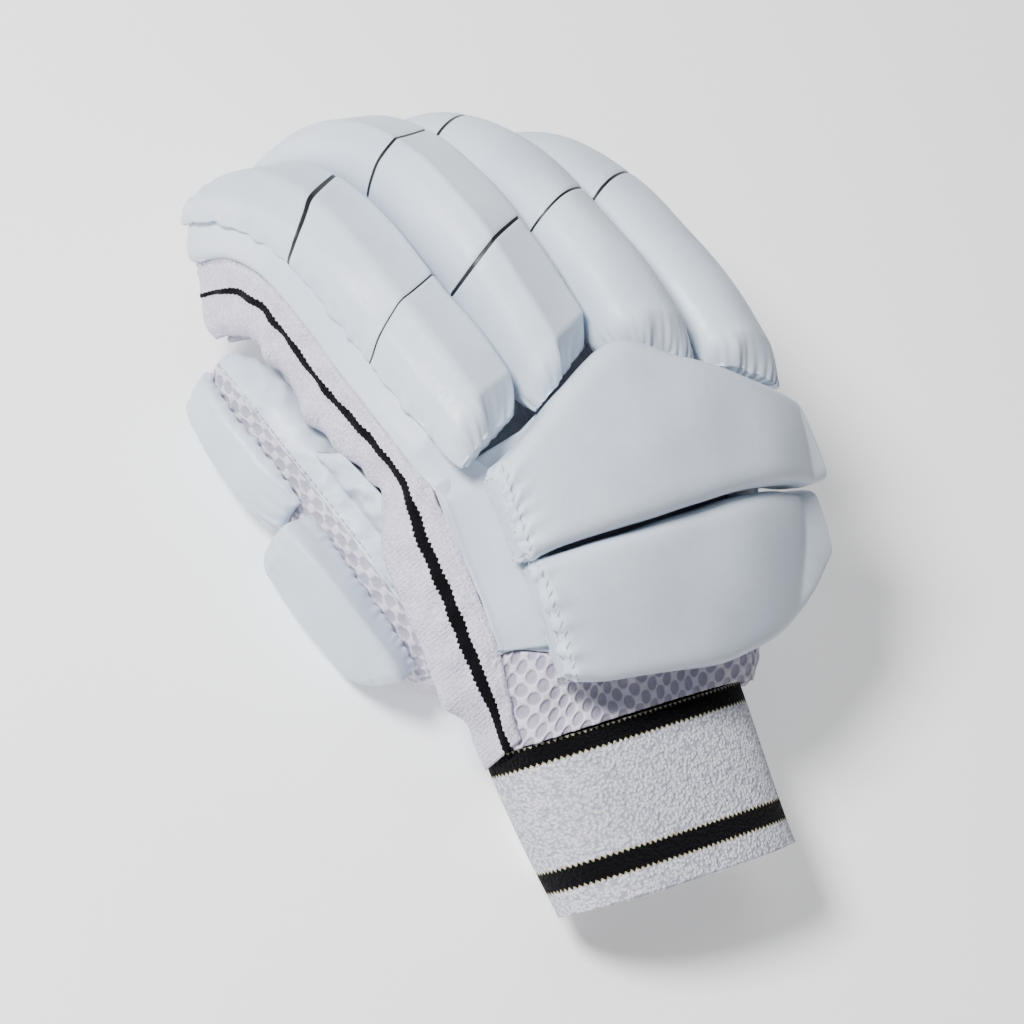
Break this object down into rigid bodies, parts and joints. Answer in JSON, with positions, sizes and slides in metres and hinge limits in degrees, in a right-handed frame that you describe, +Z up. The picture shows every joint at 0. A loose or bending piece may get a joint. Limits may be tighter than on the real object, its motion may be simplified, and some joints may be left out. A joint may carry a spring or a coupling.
{
  "type": "cricket batting glove",
  "caption": "Right-hand padded batting glove: stuffed finger rolls and hand pads over leather and towelling, with a padded thumb, an open hand cavity and a strapped knitted cuff.",
  "frame": {"origin": "The middle of the bounding box on the plane that the glove rests on.", "axes": "+X to the little finger, +Y from the cuff to the fingertips, +Z up out of the back of the hand; the glove rests palm down with curled fingers."},
  "size_m": [0.1742, 0.307, 0.1217],
  "materials": {
    "leather": "smooth white leather",
    "towelling": "pale lilac-white looped towelling",
    "mesh": "pale spacer mesh",
    "knit": "white looped knit with black bands",
    "strap": "matte white moulded strap"
  },
  "bodies": {
    "root": {"cuff": "knit", "wrist_strap": "strap", "mesh_band": "mesh", "back_leather": "leather", "palm_leather": "leather", "side_gusset": "towelling", "roll_index": "leather", "roll_middle": "leather", "roll_ring": "leather", "roll_little": "leather", "piping_index": "towelling", "piping_middle": "towelling", "piping_ring": "towelling", "piping_little": "towelling", "knuckle_pad": "leather", "wrist_pad": "leather", "thumb_leather": "leather", "thumb_mesh": "mesh", "thumb_tip_roll": "leather", "thumb_base_pad": "leather"}
  },
  "joints": []
}
